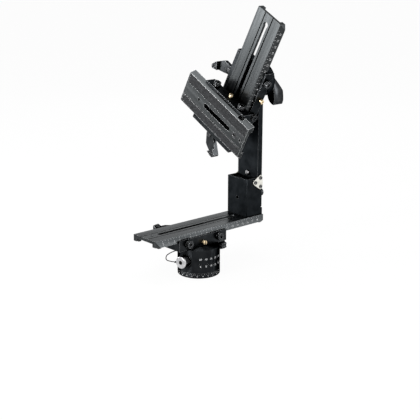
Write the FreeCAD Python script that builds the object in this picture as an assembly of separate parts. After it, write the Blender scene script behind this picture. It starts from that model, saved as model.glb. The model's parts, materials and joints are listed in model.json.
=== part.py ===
import FreeCAD, Part
import math
import os

# Multi-row panoramic tripod head, in millimetres.
# Origin: centre of the pan base's underside. +Z up, +X along the lower plate
# towards the upright arm, +Y across the lower plate.

# ---- pan base ----
base_radius = 30.5
base_ring_height = 7.2
rotor_gap = 0.3            # air gap between the fixed ring and the turning housing
rotor_height = 33.9        # turning housing, without the ring below it
socket_radius = 3.97       # tapping bore of the 3/8 inch tripod thread
socket_depth = 12.0
spindle_radius = 10.0
bush_wall = 3.0
running_fit = 0.05         # radial clearance of every shaft in its bore
retainer_radius = 14.0
retainer_thickness = 3.0
thrust_play = 0.1
rotor_roof = 4.0
index_hole_count = 18
index_hole_radius = 1.5
index_hole_depth = 2.2
index_hole_height = 20.0
index_hole_start = -107.0  # azimuth of one hole, degrees
index_hole_skip = 24.0     # no hole this near the plunger, degrees

# ---- index plunger on the housing ----
plunger_azimuth = -169.0
plunger_height = 24.8
plunger_pin_radius = 2.5
plunger_flats = 15.5
barrel_length = 7.7
plunger_knob_radius = 8.6
plunger_knob_thickness = 3.2
plunger_seat = 22.0        # radius at which the pin's inner end rests

# ---- pan lock ----
pan_lock_azimuth = -8.0
pan_lock_height = 34.0
pan_lock_head_radius = 6.5
pan_lock_head_length = 8.0
pan_lock_neck = 6.0
pan_lock_shaft_radius = 2.5
pan_lock_depth = 12.0

# ---- clamp unit, shared by all three clamps ----
clamp_length = 88.0
clamp_half_width = 30.6
floor_height = 12.6        # from the clamp's base to the plate's underside
jaw_height = 16.4
jaw_half_width = 34.7
jaw_ledge = 8.0
jaw_inner_edge = 21.5
slide_clearance = 0.1
relief_depth = 2.0
lip_relief = (-23.0, 17.6)    # dark gap along the fixed lip
lip_end_relief = 6.0
jaw_reliefs = [(-14.3, -7.0), (16.7, 23.9)]
jaw_end_relief = 11.0
jaw_hole_radius = 1.3
jaw_hole_inset = 3.5
screw_spacing = 57.4       # between the two tension screws
screw_height = 9.2
screw_head_radius = 5.4
screw_head_length = 6.4
screw_shank_radius = 2.5
screw_shank_length = 13.0
screw_standoff = 0.3
flute_count = 12
flute_radius = 0.9
hex_socket_flats = 4.0
catch_radius = 3.1
catch_offset = -1.0        # along the clamp, from its middle
catch_height = 6.4
catch_length = 13.0
catch_proud = 5.6
catch_travel = 2.5
catch_slot = 0.9
bolt_spacing = 36.0        # between the clamp's two mounting bolts
bolt_radius = 2.6
bolt_seat = 5.0            # floor left under a bolt's head
bolt_head_radius = 4.6
bolt_head_length = 4.6
bolt_socket_flats = 4.0
bolt_socket_depth = 2.6
bolt_clearance = 0.6       # around a bolt's head
lever_offset = 4.0         # pivot's place along the clamp
pivot_out = 38.4           # pivot's distance from the clamp's centre line
pivot_radius = 2.5
ear_height = 5.0
ear_half_length = 8.0
cam_radius = 5.6
cam_throw = 2.0            # lets the jaw open 0.8 over the lever's travel
lever_bottom = 5.3
lever_hub_height = 7.5
pin_head_height = 1.2
cam_pocket_back = 10.0     # room for the cam along the jaw, each way from the pivot
cam_pocket_ahead = 9.0
lever_hub = 6.5
lever_shoulder = (11.6, 10.5)   # widest point of the handle, from the pivot
lever_waist = (-5.6, 14.0)
lever_tip = 33.5
lever_tip_half = 3.4
lever_thickness = 6.0
lever_rise = 4.5           # how far the thumb end stands above the handle
lever_thumb = 11.0
lever_rib_count = 4        # grooves across the thumb end
lever_rib_inset = 1.5
lever_rib_pitch = 2.4
lever_rib_width = 1.1
lever_rib_depth = 0.7
lower_lever_angle = 73.0   # each lever's rest angle from straight out
upper_lever_angle = 21.0
camera_lever_angle = 47.0

# ---- sliding plates ----
plate_thickness = 9.3
plate_top_half = 24.0
plate_bottom_half = 27.9
corner_cut = 7.0           # the long plates' sloping sides are cut off this long at each end
channel_half = 18.0
channel_depth = 4.8
groove_offset = 8.0
groove_width = 1.6
groove_depth = 1.8
slot_width = 6.6
keyhole_radius = 4.4
stop_length = 5.0
stop_width = 6.0
stop_height = 2.0
stop_inset = 5.0
stop_edge = 1.5            # from a stop to the plate's cut edge

# ---- lower plate ----
lower_plate_length = 207.5
lower_plate_start = -82.2  # X of its free end
lower_plate_y = 20.4
lower_hole_inset = 14.0
lower_hole_radius = 2.2
lower_slot_inset = 24.0

# ---- fold bracket and arm ----
bracket_depth = 30.0
bracket_height = 57.5
bracket_wall = 3.4
bracket_recess = 3.0       # hollow in the bracket's top, in front of the arm
foot_step = 1.2            # the foot reaches this far past the bracket's back
arm_thickness = 8.8
arm_width = 42.4
arm_play = 0.3
hinge_height = 48.7        # pivot above the bracket's foot
hinge_pin_radius = 3.0
arm_shoulder = 58.0        # arm's full-width part starts this far above the foot
arm_bend_drop = 42.0       # where the arm starts to lean, below the tilt axis
hinge_plate_thickness = 1.8
hinge_plate_round = 4.2
hinge_screw_places = [(-10.3, 2.0), (-0.1, 7.9), (0.1, -5.2)]   # from the pivot
hinge_screw_radius = 2.3
hinge_screw_height = 1.3
hinge_screw_slot = 0.6
bracket_hole_radius = 2.55 # tapping bore of a 1/4 inch thread
bracket_hole_depth = 9.0
bracket_hole_height = 27.0
foot_groove_height = 10.0
foot_groove = 1.6
lock_pin_radius = 3.9
lock_pin_height = 61.7     # above the bracket's foot
lock_pin_shank = 2.0
knob_radius = 6.0
knob_length = 5.8
knob_stem = 8.0
knob_stem_radius = 2.0
knob_inset = 7.6           # from the bracket's near face
knob_height = 32.0

# ---- tilt unit ----
tilt_height = 266.2
tilt_angle = 28.4          # upper unit's lean at rest
tilt_disc_radius = 23.0
tilt_shaft_radius = 8.0
tilt_head_radius = 24.0
hub_radius = 13.0
hub_length = 5.5
crescent_width = 18.8       # grip end, along the tilt axis
crescent_hub = 6.0          # what is left under the stud's cap
crescent_full_drop = 17.0   # full width from this far below the axis down
crescent_slope = 0.62       # width lost per millimetre above that
crescent_back = [(-4.0, 11.0), (-13.4, -7.0), (-17.3, -31.5)]    # (Y, Z) from the tilt axis
crescent_front = [(-15.2, -37.0), (-7.6, -32.8), (-3.0, -23.5)]
crescent_root = [(1.0, -14.5), (7.5, -8.5)]
crescent_nose = [(11.4, 0.5), (5.5, 9.5)]
stud_radius = 4.0
stud_cap_radius = 6.5
stud_cap_length = 1.8
tilt_gap = 0.3

# ---- upper plate, camera plate and what joins them ----
upper_plate_length = 206.3
upper_slot_inset = 12.5    # from each end of the plate to its slot
upper_plate_top = 109.1    # end of the plate above the tilt axis
upper_clamp_drop = 11.6    # clamp's centre below the tilt axis
upper_stack = 33.0         # from the arm's face to the upper plate's face
camera_clamp_drop = 53.7
block_thickness = 8.9
block_length = 60.0
block_width = 46.0
camera_plate_length = 140.4
camera_plate_shift = 3.7   # plate's centre from its clamp's centre
camera_clamp_shift = -2.0
pad_inner_upper = 9.5
pad_inner_lower = 12.0
pad_edge = 0.7
pad_end = 2.5
pad_thickness = 1.0
pad_pocket = 0.7
notch_at = 51.0            # cut in the plate's upper sloping side, from its centre
notch_length = 10.0
camera_hole_at = 35.7
camera_hole_radius = 2.2
camera_slot_from = 23.0
camera_slot_to = -38.4
large_screw_at = -50.2
small_screw_at = -63.4
large_screw_radius = 4.7
small_screw_radius = 3.1
screw_rim = 1.3            # flange of a stowed camera screw around its thread
screw_ring_height = 0.5

# ---- tether wire ----
wire_radius = 0.65
wire_points = [(-28.7, 4.2, 39.2), (-37.5, 3.4, 39.9), (-47.0, 2.9, 39.6), (-52.4, 2.8, 38.4),
               (-56.7, 2.8, 37.1), (-58.5, 2.8, 33.4), (-57.1, 2.8, 29.6), (-51.9, 2.8, 27.3),
               (-46.4, 2.9, 24.9), (-37.6, 3.6, 22.2), (-28.8, 4.4, 20.0)]
crimp_radius = 1.4
crimp_start = 2.9
crimp_length = 5.5

# ---- worked-out places ----
rotor_bottom = base_ring_height + rotor_gap
rotor_top = rotor_bottom + rotor_height
plate_top = floor_height + plate_thickness
lower_face = rotor_top + plate_top
lower_plate_end = lower_plate_start + lower_plate_length
bracket_back = lower_plate_end - foot_step
bracket_front = bracket_back - bracket_depth
bracket_width = arm_width + 2 * arm_play
arm_face = bracket_back - arm_thickness
hinge_x = arm_face + arm_thickness / 2
hinge_z = lower_face + hinge_height
bracket_top = lower_face + bracket_height
bracket_near = lower_plate_y - bracket_width / 2
bracket_far = lower_plate_y + bracket_width / 2
bevel_run = plate_bottom_half - plate_top_half

X = FreeCAD.Vector(1, 0, 0)
Y = FreeCAD.Vector(0, 1, 0)
Z = FreeCAD.Vector(0, 0, 1)


def vec(x, y, z):
    return FreeCAD.Vector(x, y, z)


def save(name, *solids):
    shape = solids[0] if len(solids) == 1 else Part.makeCompound(list(solids))
    shape.exportStep("parts/" + name + ".step")


def block(low, high):
    size = [b - a for a, b in zip(low, high)]
    return Part.makeBox(size[0], size[1], size[2], vec(*low))


def rod(radius, start, direction, length):
    return Part.makeCylinder(radius, length, vec(*start), vec(*direction))


def prism(points, along, length):
    """Solid with the given outline, swept straight along a vector."""
    wire = Part.makePolygon([vec(*p) for p in points + points[:1]])
    return Part.Face(wire).extrude(vec(*along) * length)


def hexagon(flats, start, direction, length):
    """Hexagonal bar that starts at a point and runs along a unit vector."""
    axis = vec(*direction)
    side = axis.cross(Z) if abs(axis.z) < 0.9 else vec(1, 0, 0)
    side.normalize()
    up = axis.cross(side)
    reach = flats / math.sqrt(3)
    corners = []
    for k in range(6):
        angle = math.radians(60 * k)
        corners.append(vec(*start) + side * (reach * math.cos(angle)) + up * (reach * math.sin(angle)))
    wire = Part.makePolygon(corners + corners[:1])
    return Part.Face(wire).extrude(axis * length)


def slot_cutter(x0, x1, width, z0, z1):
    """Round-ended slot along local X, centred on local Y = 0."""
    radius = width / 2
    body = block((x0 + radius, -radius, z0), (x1 - radius, radius, z1))
    ends = [rod(radius, (x, 0, z0), (0, 0, 1), z1 - z0) for x in (x0 + radius, x1 - radius)]
    return body.fuse(ends)


def polar(azimuth, radius, height):
    angle = math.radians(azimuth)
    return (radius * math.cos(angle), radius * math.sin(angle), height)


def frame(origin, along, across):
    """Placement whose local X, Y and Z are along, across and their cross product."""
    up = along.cross(across)
    matrix = FreeCAD.Matrix(along.x, across.x, up.x, origin.x,
                            along.y, across.y, up.y, origin.y,
                            along.z, across.z, up.z, origin.z,
                            0, 0, 0, 1)
    return FreeCAD.Placement(matrix)


def placed(shape, placement):
    moved = shape.copy()
    moved.Placement = placement.multiply(moved.Placement)
    return moved


# ------------------------------------------------------------ pan base

def pan_base():
    ring = rod(base_radius, (0, 0, 0), (0, 0, 1), base_ring_height)
    rim = [e for e in ring.Edges if e.BoundBox.ZMax < 0.01]
    ring = ring.makeChamfer(0.8, rim)
    spindle_top = rotor_top - rotor_roof - retainer_thickness - 1.0
    spindle = rod(spindle_radius, (0, 0, base_ring_height), (0, 0, 1), spindle_top - base_ring_height)
    ring = ring.fuse(spindle)
    ring = ring.cut(rod(socket_radius, (0, 0, 0), (0, 0, 1), socket_depth))
    ring = ring.cut(rod(pan_screw_radius(), (0, 0, spindle_top - 8), (0, 0, 1), 8))
    save("base_ring", ring)

    retainer = rod(retainer_radius, (0, 0, spindle_top), (0, 0, 1), retainer_thickness)
    retainer = retainer.cut(rod(pan_screw_radius(), (0, 0, spindle_top), (0, 0, 1), retainer_thickness))
    save("spindle_retainer", retainer)

    screw = rod(pan_screw_radius(), (0, 0, spindle_top - 8), (0, 0, 1), 8 + retainer_thickness)
    save("retainer_screw", screw)

    bush_top = spindle_top - thrust_play
    bush_length = bush_top - rotor_bottom
    bush = rod(spindle_radius + bush_wall, (0, 0, rotor_bottom), (0, 0, 1), bush_length)
    bush = bush.cut(rod(spindle_radius + running_fit, (0, 0, rotor_bottom), (0, 0, 1), bush_length))
    save("pan_bearing_bush", bush)
    return spindle_top, bush_top


def pan_screw_radius():
    return 2.5


def pan_housing(spindle_top, bush_top):
    body = rod(base_radius, (0, 0, rotor_bottom), (0, 0, 1), rotor_height)
    edges = [e for e in body.Edges if e.BoundBox.ZMin > rotor_top - 0.01]
    body = body.makeFillet(0.8, edges)
    bush_bore = rod(spindle_radius + bush_wall, (0, 0, rotor_bottom), (0, 0, 1), bush_top - rotor_bottom)
    pocket = rod(retainer_radius + 0.5, (0, 0, bush_top), (0, 0, 1), rotor_top - rotor_roof - bush_top)
    body = body.cut([bush_bore, pocket])
    for k in range(index_hole_count):
        azimuth = index_hole_start + 360.0 * k / index_hole_count
        if abs((azimuth - plunger_azimuth + 180) % 360 - 180) < index_hole_skip:
            continue
        start = polar(azimuth, base_radius - index_hole_depth, index_hole_height)
        body = body.cut(rod(index_hole_radius, start, polar(azimuth, 1, 0), index_hole_depth + 1))
    bore = plunger_pin_radius + running_fit
    start = polar(plunger_azimuth, plunger_seat - 2, plunger_height)
    body = body.cut(rod(bore, start, polar(plunger_azimuth, 1, 0), base_radius))
    seat = flat_seat(plunger_azimuth)
    body = body.cut(seat)
    bore = pan_lock_shaft_radius + running_fit
    start = polar(pan_lock_azimuth, base_radius - pan_lock_depth, pan_lock_height)
    body = body.cut(rod(bore, start, polar(pan_lock_azimuth, 1, 0), base_radius))
    for end, inner in ((wire_points[0], wire_points[1]), (wire_points[-1], wire_points[-2])):
        outward = vec(*inner) - vec(*end)
        outward.normalize()
        body = body.cut(Part.makeCylinder(wire_radius, base_radius, vec(*end), outward))
    save("pan_housing", body)


def flat_radius():
    """Distance from the pan axis to the flat that the plunger's barrel seats on."""
    return math.sqrt(base_radius ** 2 - (plunger_flats / math.sqrt(3)) ** 2) - 0.4


def flat_seat(azimuth):
    start = polar(azimuth, flat_radius(), plunger_height)
    return rod(plunger_flats / math.sqrt(3) + 0.2, start, polar(azimuth, 1, 0), base_radius)


def index_plunger():
    out = polar(plunger_azimuth, 1, 0)
    barrel_start = polar(plunger_azimuth, flat_radius(), plunger_height)
    length = base_radius - flat_radius() + barrel_length
    barrel = hexagon(plunger_flats, barrel_start, out, length)
    barrel = barrel.cut(rod(plunger_pin_radius + running_fit, barrel_start, out, length))
    save("plunger_barrel", barrel)

    knob_from = base_radius + barrel_length + slide_clearance
    knob_centre = polar(plunger_azimuth, knob_from, plunger_height)
    knob = rod(plunger_knob_radius, knob_centre, out, plunger_knob_thickness)
    rim = [e for e in knob.Edges if e.Curve.TypeId == "Part::GeomCircle"]
    knob = knob.makeChamfer(0.5, rim)
    pin_end = polar(plunger_azimuth, plunger_seat, plunger_height)
    pin = rod(plunger_pin_radius, pin_end, out, knob_from - plunger_seat)
    knob = knob.fuse(pin)
    hollow = polar(plunger_azimuth, knob_from + 0.8, plunger_height)
    knob = knob.cut(rod(plunger_pin_radius, hollow, out, plunger_knob_thickness))
    save("index_plunger", knob)


def pan_lock():
    out = polar(pan_lock_azimuth, 1, 0)
    shaft_from = base_radius - pan_lock_depth + 1
    head_from = base_radius + pan_lock_neck
    knob = rod(pan_lock_shaft_radius, polar(pan_lock_azimuth, shaft_from, pan_lock_height), out,
               head_from - shaft_from)
    head = rod(pan_lock_head_radius, polar(pan_lock_azimuth, head_from, pan_lock_height), out,
               pan_lock_head_length)
    for k in range(6):
        angle = math.radians(60 * k)
        side = vec(*polar(pan_lock_azimuth + 90, math.cos(angle), 0)) + Z * math.sin(angle)
        centre = vec(*polar(pan_lock_azimuth, head_from - 1, pan_lock_height))
        centre = centre + side * (pan_lock_head_radius + 1.6)
        head = head.cut(rod(3.0, (centre.x, centre.y, centre.z), out, pan_lock_head_length + 2))
    save("pan_lock_knob", knob.fuse(head))


def tether():
    points = [vec(*p) for p in wire_points]
    edges = []
    here = points[0]
    for k in range(1, len(points) - 1):
        back = points[k - 1] - points[k]
        ahead = points[k + 1] - points[k]
        shorter = min(back.Length, ahead.Length)
        back.normalize()
        ahead.normalize()
        turn = math.pi - back.getAngle(ahead)
        reach = 0.45 * shorter
        radius = reach / math.tan(turn / 2)
        print("tether radius", round(radius, 2))
        enter = points[k] + back * reach
        leave = points[k] + ahead * reach
        middle = back + ahead
        middle.normalize()
        centre = points[k] + middle * (radius / math.cos(turn / 2))
        mid = centre - middle * radius
        edges.append(Part.LineSegment(here, enter).toShape())
        edges.append(Part.Arc(enter, mid, leave).toShape())
        here = leave
    edges.append(Part.LineSegment(here, points[-1]).toShape())
    path = Part.Wire(edges)
    start_dir = points[1] - points[0]
    start_dir.normalize()
    circle = Part.Wire(Part.makeCircle(wire_radius, points[0], start_dir))
    tube = path.makePipeShell([circle], True, True)
    expected = math.pi * wire_radius ** 2 * path.Length
    print("tether volume", round(tube.Volume, 2), "expected", round(expected, 2))
    save("tether_wire", tube)

    crimp_run = len(points) - 3
    along = points[crimp_run + 1] - points[crimp_run]
    along.normalize()
    start = points[crimp_run] + along * crimp_start
    crimp = Part.makeCylinder(crimp_radius, crimp_length, start, along)
    crimp = crimp.cut(Part.makeCylinder(wire_radius + running_fit, crimp_length, start, along))
    save("tether_crimp", crimp)


# ------------------------------------------------------------ clamp unit
# Local frame: X along the plate, Y across it towards the cam lever, Z away
# from the surface that the clamp is bolted to.

def bevel_at(height):
    """Half-width of the plate's sloping side at a height above the clamp's base."""
    return plate_bottom_half - bevel_run * (height - floor_height) / plate_thickness


def cam_pocket(top):
    """Room for the cam lever's hub, from the clamp's straight side outwards."""
    return block((lever_offset - cam_pocket_back, clamp_half_width, ear_height),
                 (lever_offset + cam_pocket_ahead, jaw_half_width + 1, top))


def clamp_body():
    half = clamp_length / 2
    low = bevel_at(floor_height) + slide_clearance
    high = bevel_at(jaw_height) + slide_clearance
    floor_top = floor_height - slide_clearance
    outline = [(-half, -clamp_half_width, 0), (-half, jaw_half_width, 0),
               (-half, jaw_half_width, jaw_ledge), (-half, jaw_inner_edge, jaw_ledge),
               (-half, jaw_inner_edge, floor_top), (-half, -low, floor_top),
               (-half, -high, jaw_height), (-half, -clamp_half_width, jaw_height)]
    body = prism(outline, (1, 0, 0), clamp_length)
    for x0, x1 in (lip_relief, (-half - 1, -half + lip_end_relief)):
        body = body.cut(block((x0, -high - relief_depth, floor_top), (x1, -high + 4, jaw_height + 1)))
    body = body.cut(cam_pocket(jaw_ledge + 1))
    ear = block((lever_offset - ear_half_length, jaw_half_width - 2, 0),
                (lever_offset + ear_half_length, pivot_out, ear_height))
    ear = ear.fuse(rod(ear_half_length, (lever_offset, pivot_out, 0), (0, 0, 1), ear_height))
    body = body.fuse(ear)
    for x in (-screw_spacing / 2, screw_spacing / 2):
        bore = screw_shank_radius + running_fit
        body = body.cut(rod(bore, (x, -clamp_half_width, screw_height), (0, 1, 0), screw_shank_length + 1))
    catch_bore = catch_radius + running_fit
    catch_space = catch_length + catch_travel + 0.5
    catch_mouth = (catch_offset, -clamp_half_width, catch_height)
    body = body.cut(rod(catch_bore, catch_mouth, (0, 1, 0), catch_space))
    body = body.cut(rod(pivot_radius, (lever_offset, pivot_out, 0), (0, 0, 1), ear_height))
    for x in (-bolt_spacing / 2, bolt_spacing / 2):
        head_bore = bolt_head_radius + bolt_clearance
        body = body.cut(rod(head_bore, (x, 0, bolt_seat), (0, 0, 1), floor_height))
        body = body.cut(rod(bolt_radius, (x, 0, 0), (0, 0, 1), bolt_seat))
    return body


def clamp_jaw():
    half = clamp_length / 2
    inner = bevel_at(floor_height) + slide_clearance
    top = bevel_at(jaw_height) + slide_clearance
    inside = jaw_inner_edge + slide_clearance
    bottom = jaw_ledge + slide_clearance
    floor_top = floor_height - slide_clearance
    outline = [(-half, inside, bottom), (-half, jaw_half_width, bottom),
               (-half, jaw_half_width, jaw_height), (-half, top, jaw_height),
               (-half, inner, floor_top), (-half, inside, floor_top)]
    jaw = prism(outline, (1, 0, 0), clamp_length)
    for x0, x1 in jaw_reliefs + [(-half - 1, -half + jaw_end_relief)]:
        jaw = jaw.cut(block((x0, top - 4, floor_height + 1.0), (x1, top + relief_depth, jaw_height + 1)))
    jaw = jaw.cut(cam_pocket(pin_top() + pin_head_height + 0.5))
    hole = (half - jaw_hole_inset, (top + jaw_half_width) / 2, jaw_height - 3)
    return jaw.cut(rod(jaw_hole_radius, hole, (0, 0, 1), 4))


def lever_outline():
    """Plan of the cam lever's handle, its hub at the origin and its tip along +Y."""
    hub = lever_hub
    shoulder = vec(lever_shoulder[0], lever_shoulder[1], 0)
    waist = vec(lever_waist[0], lever_waist[1], 0)
    tip_right = vec(lever_tip_half, lever_tip - 1.5, 0)
    tip_left = vec(-lever_tip_half, lever_tip - 1.5, 0)
    right = vec(hub * math.cos(math.radians(-30)), hub * math.sin(math.radians(-30)), 0)
    left = vec(-hub, 0, 0)
    bottom = vec(0, -hub, 0)
    belly = vec(lever_shoulder[0] - 2.2, (shoulder.y + tip_right.y) / 2 - 1.0, 0)
    edges = [Part.Arc(left, bottom, right).toShape(), Part.LineSegment(right, shoulder).toShape(),
             Part.Arc(shoulder, belly, tip_right).toShape(),
             Part.Arc(tip_right, vec(0, lever_tip, 0), tip_left).toShape(),
             Part.LineSegment(tip_left, waist).toShape(), Part.LineSegment(waist, left).toShape()]
    return Part.Face(Part.Wire(edges))


def clamp_lever(rest_angle):
    """Cam lever; at rest its tip points rest_angle degrees from local +Y towards -X."""
    pivot = vec(lever_offset, pivot_out, 0)
    cam = rod(cam_radius, (lever_offset, pivot_out - cam_throw, lever_bottom), (0, 0, 1), lever_hub_height)
    handle = lever_outline().extrude(vec(0, 0, lever_thickness + lever_rise))
    above_hub = block((-lever_tip, -lever_tip, lever_thickness),
                      (lever_tip, lever_tip - lever_thumb, lever_thickness + lever_rise + 1))
    handle = handle.cut(above_hub)
    for k in range(lever_rib_count):
        y = lever_tip - lever_thumb + lever_rib_inset + k * lever_rib_pitch
        top = lever_thickness + lever_rise
        handle = handle.cut(block((-lever_tip, y, top - lever_rib_depth),
                                  (lever_tip, y + lever_rib_width, top + 1)))
    handle.translate(vec(0, 0, lever_bottom + 1.5))
    turn = FreeCAD.Placement(pivot, FreeCAD.Rotation(Z, rest_angle))
    lever = cam.fuse(placed(handle, turn))
    bore = rod(pivot_radius + running_fit, (pivot.x, pivot.y, lever_bottom), (0, 0, 1), lever_hub_height)
    return lever.cut(bore).removeSplitter()


def pin_top():
    return lever_bottom + lever_hub_height + 0.3


def lever_pin():
    pin = rod(pivot_radius, (lever_offset, pivot_out, 0), (0, 0, 1), pin_top())
    head = rod(pivot_radius + 1.0, (lever_offset, pivot_out, pin_top()), (0, 0, 1), pin_head_height)
    return pin.fuse(head)


def tension_screw(x):
    head_from = -clamp_half_width - screw_standoff
    head_end = head_from - screw_head_length
    head = rod(screw_head_radius, (x, head_end, screw_height), (0, 1, 0), screw_head_length)
    for k in range(flute_count):
        angle = 2 * math.pi * k / flute_count
        place = (x + screw_head_radius * math.cos(angle), head_end - 1,
                 screw_height + screw_head_radius * math.sin(angle))
        head = head.cut(rod(flute_radius, place, (0, 1, 0), screw_head_length - 0.8))
    head = head.cut(hexagon(hex_socket_flats, (x, head_end, screw_height), (0, 1, 0), 4.0))
    shank = rod(screw_shank_radius, (x, head_from, screw_height), (0, 1, 0), screw_shank_length)
    return head.fuse(shank)


def safety_catch():
    tip = -clamp_half_width - catch_proud
    pin = rod(catch_radius, (catch_offset, tip, catch_height), (0, 1, 0), catch_length)
    slot = block((catch_offset - catch_slot / 2, tip, catch_height - catch_radius - 1),
                 (catch_offset + catch_slot / 2, tip + 2.2, catch_height + catch_radius + 1))
    return pin.cut(slot)


def clamp_bolts():
    bolts = []
    head_top = bolt_seat + bolt_head_length
    for x in (-bolt_spacing / 2, bolt_spacing / 2):
        bolt = rod(bolt_radius, (x, 0, 0), (0, 0, 1), bolt_seat)
        bolt = bolt.fuse(rod(bolt_head_radius, (x, 0, bolt_seat), (0, 0, 1), bolt_head_length))
        socket_floor = (x, 0, head_top - bolt_socket_depth)
        bolts.append(bolt.cut(hexagon(bolt_socket_flats, socket_floor, (0, 0, 1), bolt_socket_depth)))
    return bolts


def clamp_unit(prefix, placement, rest_angle):
    save(prefix + "_clamp_body", placed(clamp_body(), placement))
    save(prefix + "_clamp_jaw", placed(clamp_jaw(), placement))
    save(prefix + "_cam_lever", placed(clamp_lever(rest_angle), placement))
    save(prefix + "_cam_pin", placed(lever_pin(), placement))
    save(prefix + "_tension_screw_a", placed(tension_screw(-screw_spacing / 2), placement))
    save(prefix + "_tension_screw_b", placed(tension_screw(screw_spacing / 2), placement))
    save(prefix + "_safety_catch", placed(safety_catch(), placement))
    save(prefix + "_clamp_bolts", *[placed(bolt, placement) for bolt in clamp_bolts()])


# ------------------------------------------------------------ sliding plates
# Built in the clamp's local frame, from x0 to x1.

def plate_blank(x0, x1):
    low = floor_height
    top = plate_top
    roof = low + channel_depth
    outline = [(x0, -plate_bottom_half, low), (x0, -plate_top_half, top),
               (x0, plate_top_half, top), (x0, plate_bottom_half, low),
               (x0, channel_half, low), (x0, channel_half, roof),
               (x0, -channel_half, roof), (x0, -channel_half, low)]
    return prism(outline, (1, 0, 0), x1 - x0)


def long_plate(x0, x1):
    """A plate with its corners cut off and two shallow grooves along the top."""
    plate = plate_blank(x0, x1)
    for end, inward in ((x0, 1), (x1, -1)):
        for side in (-1, 1):
            plate = plate.cut(corner_wedge(end, inward, side))
    for side in (-1, 1):
        y0 = side * groove_offset - groove_width / 2
        plate = plate.cut(block((x0, y0, plate_top - groove_depth), (x1, y0 + groove_width, plate_top)))
    return plate


def corner_wedge(end, inward, side):
    """What is cut off a sloping side at one end of a plate."""
    beyond = side * (plate_bottom_half + 1)
    outline = [(end, side * plate_top_half, floor_height - 1),
               (end + inward * corner_cut, side * plate_bottom_half, floor_height - 1),
               (end + inward * corner_cut, beyond, floor_height - 1),
               (end - inward, beyond, floor_height - 1),
               (end - inward, side * plate_top_half, floor_height - 1)]
    return prism(outline, (0, 0, 1), plate_thickness + 2)


def end_stops(x0, x1):
    """Small blocks under the plate's ends that keep it from sliding out of its clamp."""
    stop_side = plate_top_half + bevel_run * stop_inset / corner_cut - stop_edge
    stops = []
    for x in (x0 + stop_inset, x1 - stop_inset - stop_length):
        for side in (-1, 1):
            y = side * (stop_side - stop_width / 2)
            stops.append(block((x, y - stop_width / 2, floor_height - stop_height),
                               (x + stop_length, y + stop_width / 2, floor_height)))
    return stops


def lower_plate(placement):
    plate = long_plate(lower_plate_start, lower_plate_end)
    top = plate_top + 1
    x = lower_plate_start + lower_hole_inset
    plate = plate.cut(rod(lower_hole_radius, (x, 0, 0), (0, 0, 1), top))
    slot_from = lower_plate_start + lower_slot_inset
    plate = plate.cut(slot_cutter(slot_from, bracket_front - 6, slot_width, 0, top))
    save("lower_plate", placed(plate, placement))
    stops = end_stops(lower_plate_start, lower_plate_end)
    save("lower_plate_stops", *[placed(s, placement) for s in stops])


def upper_plate(placement):
    x1 = upper_plate_top + upper_clamp_drop
    x0 = x1 - upper_plate_length
    top = plate_top + 1
    plate = long_plate(x0, x1)
    keyhole_x = x1 - upper_slot_inset
    plate = plate.cut(slot_cutter(x0 + upper_slot_inset, keyhole_x, slot_width, 0, top))
    plate = plate.cut(rod(keyhole_radius, (keyhole_x - slot_width / 2, 0, 0), (0, 0, 1), top))
    save("upper_plate", placed(plate, placement))
    save("upper_plate_stops", *[placed(s, placement) for s in end_stops(x0, x1)])


def camera_plate(placement):
    x0 = camera_plate_shift - camera_plate_length / 2
    x1 = camera_plate_shift + camera_plate_length / 2
    top = plate_top + 1
    plate = plate_blank(x0, x1)
    bottom = plate_top - pad_pocket
    strips = [(-plate_top_half + pad_edge, -pad_inner_upper), (pad_inner_lower, plate_top_half - pad_edge)]
    pads = []
    for y0, y1 in strips:
        plate = plate.cut(block((x0 + pad_end, y0, bottom), (x1 - pad_end, y1, top)))
        pad = block((x0 + pad_end, y0, bottom), (x1 - pad_end, y1, bottom + pad_thickness))
        pads.append(placed(pad, placement))
    middle = camera_plate_shift
    plate = plate.cut(rod(camera_hole_radius, (middle + camera_hole_at, 0, 0), (0, 0, 1), top))
    plate = plate.cut(slot_cutter(middle + camera_slot_to, middle + camera_slot_from, slot_width, 0, top))
    for at, radius in ((large_screw_at, large_screw_radius), (small_screw_at, small_screw_radius)):
        plate = plate.cut(rod(radius + running_fit, (middle + at, 0, 0), (0, 0, 1), top))
    y = pad_inner_lower - 1.6
    plate = plate.cut(block((x0, y, plate_top - groove_depth), (x1, y + 1.0, plate_top)))
    notch_x = middle - notch_at
    notch = block((notch_x, -plate_bottom_half, floor_height + 2),
                  (notch_x + notch_length, -plate_top_half - 0.8, top))
    plate = plate.cut(notch)
    save("camera_plate", placed(plate, placement))
    save("camera_plate_pads", *pads)
    save("camera_plate_stops", *[placed(s, placement) for s in end_stops(x0, x1)])
    for name, at, radius in (("camera_screw_large", large_screw_at, large_screw_radius),
                             ("camera_screw_small", small_screw_at, small_screw_radius)):
        low = floor_height + channel_depth
        screw = rod(radius, (middle + at, 0, low), (0, 0, 1), plate_top + screw_ring_height - low)
        head_depth = channel_depth - 1.0
        head_start = (middle + at, 0, low - head_depth)
        screw = screw.fuse(rod(radius + screw_rim, head_start, (0, 0, 1), head_depth - 0.2))
        screw = screw.fuse(rod(radius, head_start, (0, 0, 1), head_depth))
        screw = screw.cut(rod(radius * 0.45, (middle + at, 0, plate_top - 2), (0, 0, 1), 4))
        save(name, placed(screw, placement))


# ------------------------------------------------------------ fold bracket, arm

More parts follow.
